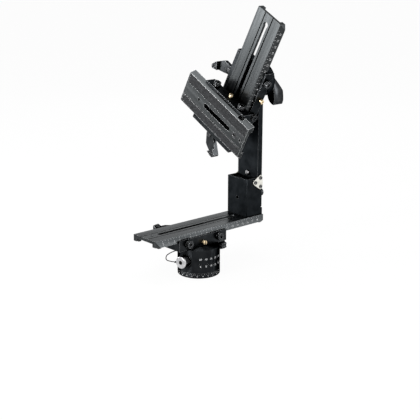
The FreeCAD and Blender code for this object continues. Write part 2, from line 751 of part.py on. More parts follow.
def fold_bracket():
    body = block((bracket_front, bracket_near, lower_face), (bracket_back, bracket_far, bracket_top))
    vertical = [e for e in body.Edges if e.BoundBox.ZLength > 10 and e.BoundBox.XMax < bracket_front + 1]
    body = body.makeFillet(1.5, vertical)
    slot_face = arm_face - arm_play
    tongue_low = bracket_near + bracket_wall - arm_play
    tongue_high = bracket_far - bracket_wall + arm_play
    slot_bottom = hinge_z - arm_thickness / 2 - 1.0
    tongue_space = block((slot_face, tongue_low, slot_bottom),
                         (bracket_back + 1, tongue_high, bracket_top + 1))
    body = body.cut(tongue_space)
    recess_floor = bracket_top - bracket_recess
    body = body.cut(block((bracket_front + bracket_wall, bracket_near + bracket_wall, recess_floor),
                          (slot_face + 1, bracket_far - bracket_wall, bracket_top + 1)))
    corner = block((hinge_x, bracket_near - 1, hinge_z),
                   (bracket_back + 1, bracket_far + 1, bracket_top + 1))
    round_radius = bracket_top - hinge_z - 0.1
    keep = rod(round_radius, (hinge_x, bracket_near - 2, hinge_z), (0, 1, 0), bracket_width + 4)
    body = body.cut(corner.cut(keep))
    pocket_top = hinge_z - arm_thickness / 2 - 8
    body = body.cut(block((bracket_front + bracket_wall, bracket_near + bracket_wall, lower_face),
                          (bracket_back - bracket_wall, bracket_far - bracket_wall, pocket_top)))
    body = body.cut(rod(hinge_pin_radius, (hinge_x, bracket_near, hinge_z), (0, 1, 0), bracket_width))
    hole_z = lower_face + bracket_hole_height
    mouth = (bracket_front, lower_plate_y, hole_z)
    inside = (bracket_front + 1, lower_plate_y, hole_z)
    body = body.fuse(rod(bracket_hole_radius + 3, inside, (1, 0, 0), bracket_hole_depth - 1))
    body = body.cut(rod(bracket_hole_radius, mouth, (1, 0, 0), bracket_hole_depth))
    groove_z = lower_face + foot_groove_height
    body = body.fuse(block((bracket_back - foot_groove, bracket_near, lower_face),
                           (lower_plate_end, bracket_far, groove_z)))
    body = body.cut(block((bracket_back - foot_groove, bracket_near, groove_z),
                          (bracket_back, bracket_far, groove_z + foot_groove)))
    knob_z = lower_face + knob_height
    stem_bore = (bracket_back - bracket_wall - 1, knob_y(), knob_z)
    body = body.cut(rod(knob_stem_radius + running_fit, stem_bore, (1, 0, 0), knob_stem))
    save("fold_bracket", body)


def knob_y():
    return bracket_near + knob_inset


def on_tilt_circle(degrees):
    """Point of the arm's round head, at an angle from +Y."""
    angle = math.radians(degrees)
    return vec(0, tilt_head_radius * math.cos(angle), tilt_height + tilt_head_radius * math.sin(angle))


def arm_outline():
    """Upright bar whose top leads into a round head centred on the tilt axis."""
    near = lower_plate_y - arm_width / 2
    far = lower_plate_y + arm_width / 2
    bottom = lower_face + arm_shoulder + 0.1
    foot_near = vec(0, near, bottom)
    foot_far = vec(0, far, bottom)
    bend_far = vec(0, far, tilt_height - arm_bend_drop)
    bend_near = vec(0, near, tilt_height - arm_bend_drop + 8)
    edges = [Part.LineSegment(foot_near, foot_far).toShape(),
             Part.LineSegment(foot_far, bend_far).toShape(),
             Part.LineSegment(bend_far, on_tilt_circle(52)).toShape(),
             Part.Arc(on_tilt_circle(52), on_tilt_circle(90), on_tilt_circle(180)).toShape(),
             Part.Arc(on_tilt_circle(180), on_tilt_circle(224), on_tilt_circle(267)).toShape(),
             Part.LineSegment(on_tilt_circle(267), bend_near).toShape(),
             Part.LineSegment(bend_near, foot_near).toShape()]
    return Part.Face(Part.Wire(edges))


def arm():
    face = arm_outline()
    face.translate(vec(arm_face, 0, 0))
    bar = face.extrude(vec(arm_thickness, 0, 0))
    tongue_near = bracket_near + bracket_wall
    tongue_far = bracket_far - bracket_wall
    tongue = block((arm_face, tongue_near, hinge_z),
                   (arm_face + arm_thickness, tongue_far, lower_face + arm_shoulder + 1))
    tongue_end = (hinge_x, tongue_near, hinge_z)
    tongue = tongue.fuse(rod(arm_thickness / 2, tongue_end, (0, 1, 0), tongue_far - tongue_near))
    bar = bar.fuse(tongue).removeSplitter()
    bar = bar.cut(rod(hinge_pin_radius + running_fit, tongue_end, (0, 1, 0), bracket_width))
    shaft_start = (arm_face, 0, tilt_height)
    bar = bar.cut(rod(tilt_shaft_radius + running_fit, shaft_start, (1, 0, 0), arm_thickness))
    pin_start = (arm_face, lower_plate_y, lower_face + lock_pin_height)
    bar = bar.cut(rod(lock_pin_shank + running_fit, pin_start, (1, 0, 0), arm_thickness - 2))
    save("arm", bar)


def fold_hinge():
    pin = rod(hinge_pin_radius, (hinge_x, bracket_near, hinge_z), (0, 1, 0), bracket_width)
    save("fold_hinge_pin", pin)
    corners = [(hinge_x + along, hinge_z + up) for along, up in hinge_screw_places]
    for name, y, side in (("near", bracket_near, -1), ("far", bracket_far, 1)):
        plate = hinge_plate(corners, y if side > 0 else y - hinge_plate_thickness)
        save("hinge_plate_" + name, plate)
        start = y + side * hinge_plate_thickness
        recess = start + side * (hinge_screw_height - hinge_screw_slot)
        outer = start + side * hinge_screw_height
        screws = []
        for x, z in corners:
            head = rod(hinge_screw_radius, (x, start, z), (0, side, 0), hinge_screw_height)
            driver_slot = block((x - 1.6, min(recess, outer), z - 0.35),
                                (x + 1.6, max(recess, outer), z + 0.35))
            screws.append(head.cut(driver_slot))
        save("hinge_screws_" + name, *screws)


def hinge_plate(corners, y):
    """Rounded triangular cover plate around its three screws."""
    discs = [rod(hinge_plate_round, (x, y, z), (0, 1, 0), hinge_plate_thickness) for x, z in corners]
    plate = discs[0].fuse(discs[1:])
    for a in range(3):
        xa, za = corners[a]
        xb, zb = corners[(a + 1) % 3]
        length = math.hypot(xb - xa, zb - za)
        nx = (zb - za) / length * hinge_plate_round
        nz = -(xb - xa) / length * hinge_plate_round
        points = [(xa + nx, y, za + nz), (xb + nx, y, zb + nz),
                  (xb - nx, y, zb - nz), (xa - nx, y, za - nz)]
        plate = plate.fuse(prism(points, (0, 1, 0), hinge_plate_thickness))
    middle = prism([(x, y, z) for x, z in corners], (0, 1, 0), hinge_plate_thickness)
    return plate.fuse(middle).removeSplitter()


def fold_lock():
    pin_z = lower_face + lock_pin_height
    head = Part.makeSphere(lock_pin_radius, vec(arm_face - arm_play, lower_plate_y, pin_z))
    keep = block((arm_face - arm_play - lock_pin_radius * 0.75, lower_plate_y - 9, pin_z - 9),
                 (arm_face - arm_play, lower_plate_y + 9, pin_z + 9))
    head = head.common(keep)
    shank = rod(lock_pin_shank, (arm_face - arm_play, lower_plate_y, pin_z), (1, 0, 0), arm_thickness - 3)
    save("fold_lock_pin", head.fuse(shank))
    knob_z = lower_face + knob_height
    knob = rod(knob_radius, (bracket_back + 0.3, knob_y(), knob_z), (1, 0, 0), knob_length)
    rim = [e for e in knob.Edges if e.BoundBox.XMin > bracket_back + knob_length]
    knob = knob.makeFillet(1.2, rim)
    stem = rod(knob_stem_radius, (bracket_back + 0.3 - knob_stem, knob_y(), knob_z), (1, 0, 0), knob_stem)
    save("bracket_knob", knob.fuse(stem))


# ------------------------------------------------------------ tilt unit

def tilt_unit():
    clamp_base = arm_face - (upper_stack - plate_top)
    disc = rod(tilt_disc_radius, (clamp_base, 0, tilt_height), (1, 0, 0), arm_face - tilt_gap - clamp_base)
    shaft_end = arm_face + arm_thickness + tilt_gap + hub_length
    shaft_start = (arm_face - 1, 0, tilt_height)
    disc = disc.fuse(rod(tilt_shaft_radius, shaft_start, (1, 0, 0), shaft_end - arm_face + 1))
    save("tilt_disc", disc)
    hub = rod(hub_radius, (arm_face + arm_thickness + tilt_gap, 0, tilt_height), (1, 0, 0), hub_length)
    hub = hub.cut(rod(tilt_shaft_radius, shaft_start, (1, 0, 0), shaft_end - arm_face + 2))
    save("tilt_hub", hub)
    lever_x = shaft_end + tilt_gap
    cap_x = lever_x + crescent_hub + tilt_gap
    boss = rod(stud_radius, (shaft_end, 0, tilt_height), (1, 0, 0), cap_x - shaft_end)
    boss = boss.fuse(rod(stud_cap_radius, (cap_x, 0, tilt_height), (1, 0, 0), stud_cap_length))
    save("tilt_lock_stud", boss)
    save("tilt_lock_lever", crescent_lever(lever_x))


def crescent_lever(x):
    """Curved lock lever: a thin hub, and a wide grip that bulges away from the arm."""
    def at(points):
        return [vec(x, y, tilt_height + z) for y, z in points]
    back = at(crescent_back)
    front = at(crescent_front)
    root = at(crescent_root)
    nose = at(crescent_nose)
    edges = [Part.Arc(back[0], back[1], back[2]).toShape(),
             Part.LineSegment(back[2], front[0]).toShape(),
             Part.Arc(front[0], front[1], front[2]).toShape(),
             Part.Arc(front[2], root[0], root[1]).toShape(),
             Part.Arc(root[1], nose[0], nose[1]).toShape(),
             Part.LineSegment(nose[1], back[0]).toShape()]
    lever = Part.Face(Part.Wire(edges)).extrude(vec(crescent_width, 0, 0))
    grip_x = x + crescent_width
    full = tilt_height - crescent_full_drop
    over = 2 * crescent_full_drop
    wedge = prism([(grip_x, -over, full), (grip_x - over * crescent_slope, -over, full + over),
                   (grip_x + 1, -over, full + over), (grip_x + 1, -over, full)], (0, 1, 0), 2 * over)
    lever = lever.cut(wedge)
    lever = lever.cut(rod(stud_radius + running_fit, (x, 0, tilt_height), (1, 0, 0), crescent_width))
    seat = (x + crescent_hub, 0, tilt_height)
    return lever.cut(rod(stud_cap_radius + slide_clearance, seat, (1, 0, 0), crescent_width))


def main():
    os.makedirs("parts", exist_ok=True)
    spindle_top, bush_top = pan_base()
    pan_housing(spindle_top, bush_top)
    index_plunger()
    pan_lock()
    tether()

    lower_place = frame(vec(0, lower_plate_y, rotor_top), X, Y)
    clamp_unit("lower", lower_place, lower_lever_angle)
    lower_plate(lower_place)

    fold_bracket()
    arm()
    fold_hinge()
    fold_lock()
    tilt_unit()

    lean = math.radians(tilt_angle)
    rise = vec(0, -math.sin(lean), math.cos(lean))
    cross = vec(0, math.cos(lean), math.sin(lean))
    axis_point = vec(0, 0, tilt_height)
    clamp_base = arm_face - (upper_stack - plate_top)
    upper_place = frame(axis_point - rise * upper_clamp_drop + X * clamp_base, rise, cross)
    clamp_unit("upper", upper_place, upper_lever_angle)
    upper_plate(upper_place)

    upper_face = arm_face - upper_stack
    block_at = frame(axis_point - rise * camera_clamp_drop + X * upper_face, cross, rise * -1)
    mounting = block((-block_length / 2, -block_width / 2, 0),
                     (block_length / 2, block_width / 2, block_thickness))
    save("mounting_block", placed(mounting, block_at))
    camera_origin = axis_point - rise * camera_clamp_drop + cross * camera_clamp_shift
    camera_place = frame(camera_origin + X * (upper_face - block_thickness), cross, rise * -1)
    clamp_unit("camera", camera_place, camera_lever_angle)
    camera_plate(camera_place)


main()
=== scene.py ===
import json
import math

import bmesh
import bpy
from mathutils import Euler, Matrix, Vector


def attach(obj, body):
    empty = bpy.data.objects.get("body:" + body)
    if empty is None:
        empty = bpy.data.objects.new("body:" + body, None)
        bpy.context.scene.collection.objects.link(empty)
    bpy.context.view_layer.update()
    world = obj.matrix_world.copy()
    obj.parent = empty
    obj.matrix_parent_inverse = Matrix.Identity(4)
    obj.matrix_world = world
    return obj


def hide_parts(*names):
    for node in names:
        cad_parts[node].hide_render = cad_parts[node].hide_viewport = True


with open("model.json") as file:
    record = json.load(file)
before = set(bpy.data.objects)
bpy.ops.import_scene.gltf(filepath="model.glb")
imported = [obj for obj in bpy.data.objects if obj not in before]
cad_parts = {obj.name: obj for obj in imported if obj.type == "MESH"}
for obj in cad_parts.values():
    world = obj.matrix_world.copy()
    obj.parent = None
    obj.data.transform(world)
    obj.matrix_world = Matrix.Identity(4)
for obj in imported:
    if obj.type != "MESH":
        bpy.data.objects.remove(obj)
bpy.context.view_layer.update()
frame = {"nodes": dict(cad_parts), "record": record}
nodes = frame["nodes"]
mm = 0.001


# Materials. Each finish is one row: its two body colours, how metallic and rough it is, how
# bright it stays at a grazing angle, its grain, and the paler colour of its edges, worn metal with a
# painted highlight.
finishes = {
    "satinBlack": {
        "color": (0.018, 0.020, 0.0215), "color2": (0.032, 0.0345, 0.037), "metallic": 1.0,
        "patch": 90, "rough": (0.24, 0.36), "specular": 0.5, "grazing": 0.3,
        "grain": 1500, "bump": 0.10, "edge": (0.42, 0.43, 0.44), "edgeShare": 0.8,
    },
    "castBlack": {
        "color": (0.009, 0.0105, 0.0118), "color2": (0.019, 0.0215, 0.024), "metallic": 1.0,
        "patch": 90, "rough": (0.34, 0.48), "specular": 0.1, "grazing": 0.15,
        "grain": 900, "bump": 0.30, "edge": (0.30, 0.31, 0.32), "edgeShare": 0.7,
    },
    "drumBlack": {
        "color": (0.014, 0.0152, 0.0168), "color2": (0.023, 0.025, 0.027), "metallic": 1.0,
        "patch": 90, "rough": (0.36, 0.44), "specular": 0.3, "grazing": 0.12,
        "grain": 1500, "bump": 0.05, "edge": (0.40, 0.41, 0.42), "edgeShare": 0.8, "turned": True,
    },
    "glossBlack": {
        "color": (0.030, 0.032, 0.034), "color2": (0.052, 0.055, 0.058), "metallic": 1.0,
        "patch": 120, "rough": (0.16, 0.26), "specular": 0.3, "grazing": 0.2,
        "grain": 700, "bump": 0.05, "edge": (0.50, 0.51, 0.52), "edgeShare": 0.7,
    },
    "blackSteel": {
        "color": (0.035, 0.036, 0.038), "color2": (0.080, 0.082, 0.086), "metallic": 1.0,
        "patch": 200, "rough": (0.22, 0.36), "specular": 0.5, "grazing": 0.6,
        "grain": 2200, "bump": 0.05, "edge": (0.60, 0.60, 0.61), "edgeShare": 0.9,
    },
    "brightSteel": {
        "color": (0.42, 0.42, 0.43), "color2": (0.60, 0.60, 0.61), "metallic": 1.0,
        "patch": 200, "rough": (0.20, 0.34), "specular": 0.5, "grazing": 1.0,
        "grain": 2400, "bump": 0.05, "edge": (0.80, 0.80, 0.80), "edgeShare": 0.5,
    },
    "coverNickel": {
        "color": (0.66, 0.65, 0.60), "color2": (0.86, 0.85, 0.79), "metallic": 1.0,
        "patch": 200, "rough": (0.26, 0.40), "specular": 0.5, "grazing": 1.0,
        "grain": 2400, "bump": 0.05, "edge": (0.92, 0.92, 0.88), "edgeShare": 0.5,
    },
    "brass": {
        "color": (0.68, 0.51, 0.29), "color2": (0.90, 0.74, 0.50), "metallic": 1.0,
        "patch": 250, "rough": (0.20, 0.34), "specular": 0.5, "grazing": 1.0,
        "grain": 2000, "bump": 0.06, "edge": (0.92, 0.80, 0.58), "edgeShare": 0.7,
    },
    "rubber": {
        "color": (0.001, 0.0011, 0.0012), "color2": (0.048, 0.050, 0.053), "metallic": 0.0,
        "patch": 1000, "contrast": (0.40, 0.62), "rough": (0.60, 0.80), "specular": 0.10, "grazing": 1.0,
        "grain": 900, "bump": 0.9, "edge": (0.20, 0.20, 0.205), "edgeShare": 0.4,
    },
    # black oxide darkened further: painted shade of the hollow in the plunger's knob
    "socketBlackAndShade": {
        "color": (0.002, 0.002, 0.002), "color2": (0.004, 0.004, 0.004), "metallic": 0.0,
        "patch": 300, "rough": (0.35, 0.45), "specular": 0.05, "grazing": 1.0,
        "grain": 1500, "bump": 0.05, "edge": (0.04, 0.04, 0.04), "edgeShare": 0.5,
    },
    "wireCoat": {
        "color": (0.002, 0.002, 0.0025), "color2": (0.005, 0.005, 0.006), "metallic": 0.0,
        "patch": 300, "rough": (0.35, 0.45), "specular": 0.08, "grazing": 1.0,
        "grain": 3000, "bump": 0.1, "edge": (0.03, 0.03, 0.03), "edgeShare": 0.0,
    },
    "ink": {
        "color": (0.55, 0.56, 0.57), "color2": (0.75, 0.76, 0.77), "metallic": 0.0,
        "patch": 800, "rough": (0.50, 0.65), "specular": 0.4, "grazing": 1.0,
        "grain": 2500, "bump": 0.05, "edge": (0.8, 0.8, 0.8), "edgeShare": 0.0,
    },
}

# What all finishes share, worn edges with a painted highlight and painted shade in the hollows among
# them. A span is the part of a value's range that is stretched to the whole.
wearAndPaintedLight = {
    "noiseSpan": (0.3, 0.7),
    "patchDetail": 3,
    "roughScale": 260,
    "roughDetail": 4,
    "grainDetail": 3,
    "grainDepth": 0.15 * mm,
    # worn edges with a painted highlight: the width, samples and span of the paler edge colour
    "wornEdgeHighlightRadius": 0.5 * mm,
    "wornEdgeHighlightSamples": 4,
    "wornEdgeHighlightSpan": (0.90, 0.985),
    # painted shade in the hollows: how far it reaches, its samples, span, strength and colour
    "paintedShadeReach": 2.2 * mm,
    "paintedShadeSamples": 6,
    "paintedShadeSpan": (0.62, 0.90),
    "paintedShadeShare": 0.9,
    "paintedShadeColor": (0.001, 0.001, 0.001),
    "latheStretch": 0.98,
    "latheTurn": 0.25,
}


def addNoise(tree, scale, detail, along=None):
    source = tree.nodes.new("ShaderNodeTexCoord").outputs["Object"]
    if along is not None:
        turned = tree.nodes.new("ShaderNodeMapping")
        turned.vector_type = "TEXTURE"
        turned.inputs["Rotation"].default_value = along["turn"]
        turned.inputs["Scale"].default_value = along["stretch"]
        tree.links.new(source, turned.inputs["Vector"])
        source = turned.outputs["Vector"]
    texture = tree.nodes.new("ShaderNodeTexNoise")
    texture.inputs["Scale"].default_value = scale
    texture.inputs["Detail"].default_value = detail
    tree.links.new(source, texture.inputs["Vector"])
    return texture.outputs["Fac"]


def addSpread(tree, value, low, high, span=wearAndPaintedLight["noiseSpan"]):
    stretched = tree.nodes.new("ShaderNodeMapRange")
    stretched.inputs["From Min"].default_value = span[0]
    stretched.inputs["From Max"].default_value = span[1]
    stretched.inputs["To Min"].default_value = low
    stretched.inputs["To Max"].default_value = high
    tree.links.new(value, stretched.inputs["Value"])
    return stretched.outputs["Result"]


def addMix(tree, share, first, second):
    mix = tree.nodes.new("ShaderNodeMix")
    mix.data_type = "RGBA"
    tree.links.new(share, mix.inputs["Factor"])
    for socket, color in ((mix.inputs["A"], first), (mix.inputs["B"], second)):
        if isinstance(color, tuple):
            socket.default_value = (*color, 1.0)
        else:
            tree.links.new(color, socket)
    return mix.outputs["Result"]


def paintWornAndHighlitEdges(tree, body, look):
    # paler colour where the rounded normal leaves the flat one: worn metal with a painted highlight
    # along the edges
    rounded = tree.nodes.new("ShaderNodeBevel")
    rounded.samples = wearAndPaintedLight["wornEdgeHighlightSamples"]
    rounded.inputs["Radius"].default_value = wearAndPaintedLight["wornEdgeHighlightRadius"]
    geometry = tree.nodes.new("ShaderNodeNewGeometry")
    dot = tree.nodes.new("ShaderNodeVectorMath")
    dot.operation = "DOT_PRODUCT"
    tree.links.new(rounded.outputs["Normal"], dot.inputs[0])
    tree.links.new(geometry.outputs["Normal"], dot.inputs[1])
    wornAndHighlit = addSpread(tree, dot.outputs["Value"], look["edgeShare"], 0, wearAndPaintedLight["wornEdgeHighlightSpan"])
    return addMix(tree, wornAndHighlit, body, look["edge"])


def paintShadeInHollows(tree, body):
    # painted shade in the grooves, slots and corners: the base colour goes dark where ambient occlusion
    # finds walls close by
    hollow = tree.nodes.new("ShaderNodeAmbientOcclusion")
    hollow.samples = wearAndPaintedLight["paintedShadeSamples"]
    hollow.inputs["Distance"].default_value = wearAndPaintedLight["paintedShadeReach"]
    paintedShade = addSpread(tree, hollow.outputs["AO"], wearAndPaintedLight["paintedShadeShare"], 0, wearAndPaintedLight["paintedShadeSpan"])
    return addMix(tree, paintedShade, body, wearAndPaintedLight["paintedShadeColor"])


def turnOnLathe(tree, shader):
    # lathe marks round the drum stretch each highlight up and down
    shader.inputs["Anisotropic"].default_value = wearAndPaintedLight["latheStretch"]
    shader.inputs["Anisotropic Rotation"].default_value = wearAndPaintedLight["latheTurn"]
    around = tree.nodes.new("ShaderNodeTangent")
    around.direction_type = "RADIAL"
    around.axis = "Z"
    tree.links.new(around.outputs["Tangent"], shader.inputs["Tangent"])


def makeFinish(name, look, streak=None):
    material = bpy.data.materials.new(name)
    material.use_nodes = True
    tree = material.node_tree
    shader = tree.nodes["Principled BSDF"]
    shader.inputs["Metallic"].default_value = look["metallic"]
    shader.inputs["Specular IOR Level"].default_value = look["specular"]
    shader.inputs["Specular Tint"].default_value = (*[look["grazing"]] * 3, 1.0)
    if "turned" in look:
        turnOnLathe(tree, shader)

    # slow patches of the two body colours, then worn edges with a painted highlight, then painted shade
    # in the hollows
    patches = addNoise(tree, look["patch"], wearAndPaintedLight["patchDetail"], streak)
    share = addSpread(tree, patches, 0, 1, look.get("contrast", wearAndPaintedLight["noiseSpan"]))
    body = addMix(tree, share, look["color"], look["color2"])
    if look["edgeShare"] > 0:
        body = paintWornAndHighlitEdges(tree, body, look)
    tree.links.new(paintShadeInHollows(tree, body), shader.inputs["Base Color"])

    smears = addNoise(tree, wearAndPaintedLight["roughScale"], wearAndPaintedLight["roughDetail"], streak)
    tree.links.new(addSpread(tree, smears, *look["rough"]), shader.inputs["Roughness"])

    bump = tree.nodes.new("ShaderNodeBump")
    bump.inputs["Strength"].default_value = look["bump"]
    bump.inputs["Distance"].default_value = wearAndPaintedLight["grainDepth"]
    tree.links.new(addNoise(tree, look["grain"], wearAndPaintedLight["grainDetail"]), bump.inputs["Height"])
    tree.links.new(bump.outputs["Normal"], shader.inputs["Normal"])
    return material


# The three plates share one grey, streaked along each plate. The camera plate's edges are the palest:
# worn metal with the strongest painted highlight.
tiltAngle = math.radians(28.4)
plateGrey = {
    "color": (0.030, 0.0325, 0.034), "color2": (0.060, 0.064, 0.066), "metallic": 1.0,
    "patch": 140, "rough": (0.24, 0.36), "specular": 0.5, "grazing": 0.5,
    "grain": 1800, "bump": 0.06, "edge": (0.80, 0.81, 0.82),
}
plates = {
    "lower_plate": {
        "streak": {"turn": (0, 0, 0), "stretch": (20, 1, 1)},
        "own": {"edgeShare": 0.25},
    },
    "upper_plate": {
        "streak": {"turn": (tiltAngle, 0, 0), "stretch": (1, 1, 20)},
        "own": {"edgeShare": 0.1},
    },
    "camera_plate": {
        "streak": {"turn": (tiltAngle, 0, 0), "stretch": (1, 20, 1)},
        "own": {"edgeShare": 0.95, "color": (0.034, 0.037, 0.038), "color2": (0.066, 0.070, 0.072)},
    },
}
slotFinish = {
    "black_alloy": "satinBlack",
    "black_steel": "blackSteel",
    "bright_steel": "brightSteel",
    "lever_black": "glossBlack",
    "brass": "brass",
    "grip_rubber": "rubber",
    "wire_black": "wireCoat",
}
nodeFinish = {
    "arm": "castBlack",
    "fold_bracket": "castBlack",
    "pan_housing": "drumBlack",
    "base_ring": "drumBlack",
}
for side in ("near", "far"):
    nodeFinish["hinge_plate_" + side] = "coverNickel"
    nodeFinish["hinge_screws_" + side] = "blackSteel"
for clamp in ("lower", "upper", "camera"):
    nodeFinish[clamp + "_cam_pin"] = "blackSteel"
    for screw in ("a", "b"):
        nodeFinish[clamp + "_tension_screw_" + screw] = "glossBlack"

made = {name: makeFinish(name, look) for name, look in finishes.items()}
slotOf = {row["node"]: row["material_slot"] for row in frame["record"]["subparts"]}
for name, node in nodes.items():
    node.data.materials.clear()
    if name in plates:
        look = {**plateGrey, **plates[name]["own"]}
        node.data.materials.append(makeFinish(name + "Grey", look, plates[name]["streak"]))
    else:
        node.data.materials.append(made[nodeFinish.get(name, slotFinish[slotOf[name]])])
print("finishes given to", len(nodes), "nodes")


# A small round on every machined edge.
edgeRound = {
    "width": 0.35 * mm,
    "segments": 2,
    "angle": math.radians(32),
    "weld": 0.002 * mm,
    "flat": math.radians(0.2),
}
noRound = {"tether_wire", "tether_crimp", "pan_bearing_bush", "spindle_retainer", "retainer_screw"}


def roundEdges(node):
    weld = node.modifiers.new("weld", "WELD")
    weld.merge_threshold = edgeRound["weld"]
    flats = node.modifiers.new("flats", "DECIMATE")
    flats.decimate_type = "DISSOLVE"
    flats.angle_limit = edgeRound["flat"]
    bevel = node.modifiers.new("edges", "BEVEL")
    bevel.width = edgeRound["width"]
    bevel.segments = edgeRound["segments"]
    bevel.limit_method = "ANGLE"
    bevel.angle_limit = edgeRound["angle"]
    bevel.use_clamp_overlap = True
    bevel.harden_normals = True


for name, node in nodes.items():
    if name not in noRound:
        roundEdges(node)
print("edges rounded")


# The wire that keeps the plunger from being lost, along the same route as its tube.
tether = {
    "radius": 0.65,
    "length": 66.0,
    "roundness": 4,
    "steps": 12,
    "order": 3,
    "route": [
        (-28.7, 4.2, 39.2), (-37.5, 3.4, 39.9), (-47.0, 2.9, 39.6), (-52.4, 2.8, 38.4),
        (-56.7, 2.8, 37.1), (-58.5, 2.8, 33.4), (-57.1, 2.8, 29.6), (-51.9, 2.8, 27.3),
        (-46.4, 2.9, 24.9), (-37.6, 3.6, 22.2), (-28.8, 4.4, 20.0),
    ],
}


def buildTether():
    curve = bpy.data.curves.new("tetherWire", "CURVE")
    curve.dimensions = "3D"
    curve.bevel_depth = tether["radius"] * mm
    curve.bevel_resolution = tether["roundness"]
    curve.resolution_u = tether["steps"]
    spline = curve.splines.new("NURBS")
    spline.points.add(len(tether["route"]) - 1)
    for point, place in zip(spline.points, tether["route"]):
        point.co = (*(mm * v for v in place), 1.0)
    spline.order_u = tether["order"]
    spline.use_endpoint_u = True
    wire = bpy.data.objects.new("tetherWire", curve)
    bpy.context.scene.collection.objects.link(wire)
    curve.materials.append(made["wireCoat"])
    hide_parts("tether_wire")
    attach(wire, "pan_housing")


buildTether()
print("tether wire built")


# A place on a face: x runs to the right along it, y up along it and z out of it.
def facing(origin, right, up):
    xAxis = Vector(right).normalized()
    yAxis = Vector(up).normalized()
    zAxis = xAxis.cross(yAxis)
    turn = Matrix((xAxis, yAxis, zAxis)).transposed().to_4x4()
    return Matrix.Translation(Vector(origin) * mm) @ turn


def onDrum(azimuth, height, radius):
    angle = math.radians(azimuth)
    out = Vector((math.cos(angle), math.sin(angle), 0))
    right = Vector((-math.sin(angle), math.cos(angle), 0))
    return facing(out * radius + Vector((0, 0, height)), right, (0, 0, 1))


# Blackened socket screw in the middle of the plunger's knob, its colour darker than black oxide as
# painted shade of the knob's hollow centre.
plungerScrew = {
    "azimuth": -169.0,
    "height": 24.8,
    "seat": 41.2,
    "radius": 2.9,
    "length": 0.45,
    "chamfer": 0.1,
    "flats": 3.2,
    "depth": 0.4,
    "segments": 48,
}


def hexRadius(angle, flats):
    return flats / 2 / math.cos(angle % (math.pi / 3) - math.pi / 6)


def buildSocketScrew(name, screw, body):
    place = onDrum(screw["azimuth"], screw["height"], screw["seat"])
    mesh = bmesh.new()
    count = screw["segments"]
    angles = [2 * math.pi * k / count for k in range(count)]

    def ring(radiusAt, height):
        points = []
        for angle in angles:
            radius = radiusAt(angle)
            spot = Vector((radius * math.cos(angle), radius * math.sin(angle), height)) * mm
            points.append(mesh.verts.new(place @ spot))
        return points

    radius, length = screw["radius"], screw["length"]
    rings = [
        ring(lambda a: radius, 0),
        ring(lambda a: radius, length - screw["chamfer"]),
        ring(lambda a: radius - screw["chamfer"], length),
        ring(lambda a: hexRadius(a, screw["flats"]), length),
        ring(lambda a: hexRadius(a, screw["flats"]), length - screw["depth"]),
    ]
    mesh.faces.new(reversed(rings[0]))
    mesh.faces.new(rings[-1])
    for lower, upper in zip(rings, rings[1:]):
        for k in range(count):
            mesh.faces.new((lower[k], lower[k - count + 1], upper[k - count + 1], upper[k]))
    data = bpy.data.meshes.new(name)
    mesh.to_mesh(data)
    mesh.free()
    data.materials.append(made["socketBlackAndShade"])
    piece = bpy.data.objects.new(name, data)
    bpy.context.scene.collection.objects.link(piece)
    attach(piece, body)


# Marks: thin numbers and ticks of ink, half sunk in the face, in one mesh for each part.
markDepth = 0.18 * mm


class MarkSheet:
    def __init__(self, name, body):
        self.name = name
        self.body = body
        self.mesh = bmesh.new()

    def number(self, value, size, place):
        curve = bpy.data.curves.new("digits", "FONT")
        curve.body = str(value)
        curve.size = size * mm
        curve.align_x = "CENTER"
        curve.align_y = "CENTER"
        curve.extrude = markDepth / 2
        curve.resolution_u = 2
        holder = bpy.data.objects.new("digits", curve)
        outline = bpy.data.meshes.new_from_object(holder)
        outline.transform(place)
        self.mesh.from_mesh(outline)
        bpy.data.objects.remove(holder)
        bpy.data.curves.remove(curve)
        bpy.data.meshes.remove(outline)

    def tick(self, width, height, place):
        size = Matrix.Diagonal((width * mm, height * mm, markDepth, 1.0))
        bmesh.ops.create_cube(self.mesh, size=1.0, matrix=place @ size)

    def finish(self):
        data = bpy.data.meshes.new(self.name)
        self.mesh.to_mesh(data)
        self.mesh.free()
        data.materials.append(made["ink"])
        marks = bpy.data.objects.new(self.name, data)
        bpy.context.scene.collection.objects.link(marks)
        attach(marks, self.body)


drumMarks = {
    "radius": 30.5,
    "stops": [60, 45, 36, 30, 24, 20, 18, 15, 12, 10, 8, 6],
    "stopStart": -126.0,
    "stopStep": 15.0,
    "stopSize": 4.0,
    "upperRow": 28.3,
    "lowerRow": 17.9,
    "scaleZero": -90,
    "scaleSize": 2.3,
    "scaleStep": 15,
    "scaleRow": 3.2,
    "tickStep": 5,
    "tickRow": 5.7,
    "tick": (0.25, 0.9),
}


def buildDrumMarks():
    radius, size = drumMarks["radius"], drumMarks["stopSize"]
    housing = MarkSheet("housingNumbers", "pan_housing")
    for k, stops in enumerate(drumMarks["stops"]):
        azimuth = drumMarks["stopStart"] + k * drumMarks["stopStep"]
        housing.number(stops, size, onDrum(azimuth, drumMarks["upperRow"], radius))
        housing.number(360 // stops, size, onDrum(azimuth, drumMarks["lowerRow"], radius))
    housing.finish()

    ring = MarkSheet("ringNumbers", "pan_base")
    for degree in range(0, 360, drumMarks["scaleStep"]):
        place = onDrum(drumMarks["scaleZero"] - degree, drumMarks["scaleRow"], radius)
        ring.number(degree, drumMarks["scaleSize"], place)
    for degree in range(0, 360, drumMarks["tickStep"]):
        place = onDrum(drumMarks["scaleZero"] - degree, drumMarks["tickRow"], radius)
        ring.tick(*drumMarks["tick"], place)
    ring.finish()


buildDrumMarks()
buildSocketScrew("plungerScrew", plungerScrew, "index_plunger")

